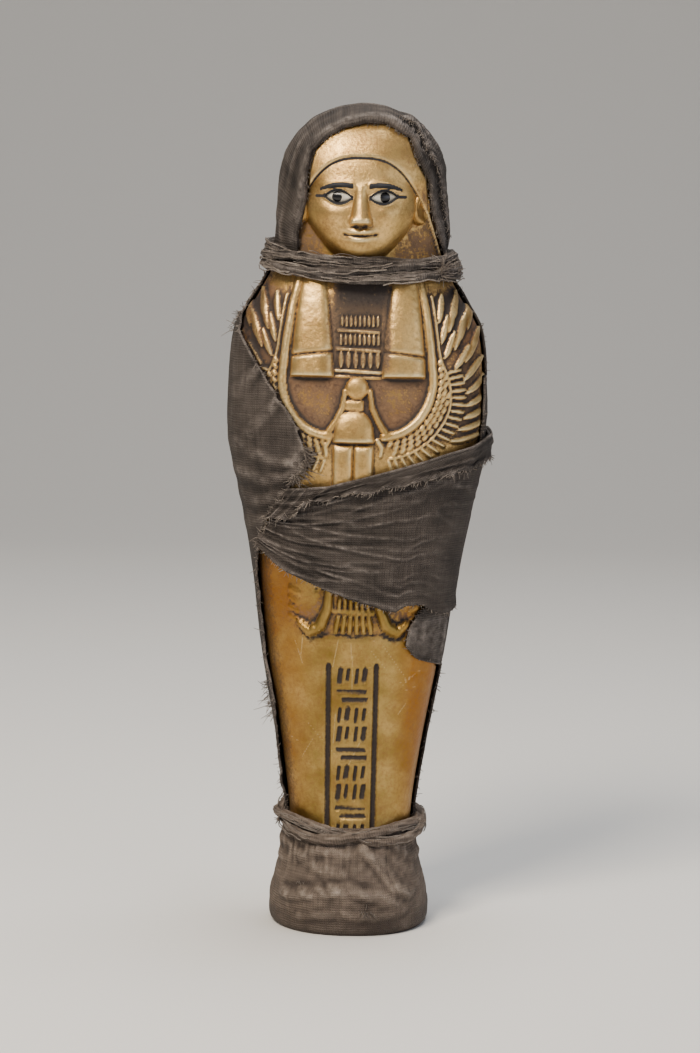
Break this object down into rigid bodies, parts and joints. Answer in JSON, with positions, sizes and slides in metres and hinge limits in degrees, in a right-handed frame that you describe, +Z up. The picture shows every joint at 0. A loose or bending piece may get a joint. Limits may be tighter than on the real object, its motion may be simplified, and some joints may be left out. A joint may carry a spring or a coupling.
{
  "type": "ushabti figurine",
  "caption": "Standing mummy-shaped figurine of gilded wood with carved wig, winged beetle and feathers, wrapped in torn dark linen that leaves the face and chest bare.",
  "frame": {"origin": "on the ground under the figure's axis, in the flat underside of the foot cloth", "axes": "+Z up along the standing figure, the face looking along -Y, +X to the viewer's right as the figure is seen from the front"},
  "size_m": [0.084, 0.0519, 0.2601],
  "materials": {
    "gilded_wood": "carved wood under gesso and worn gold leaf, satin",
    "eye_inlay": "polished pale stone with a dark pupil",
    "dark_linen": "old plain-weave linen darkened by resin, matt",
    "pale_linen": "old plain-weave linen with grey resin and dust, matt"
  },
  "bodies": {
    "root": {"figure": "gilded_wood", "right_eye_inlay": "eye_inlay", "left_eye_inlay": "eye_inlay", "hood": "dark_linen", "neck_tie": "dark_linen", "shroud": "dark_linen", "belly_wrap": "dark_linen", "ankle_tie": "pale_linen", "foot_cloth": "pale_linen"}
  },
  "joints": []
}
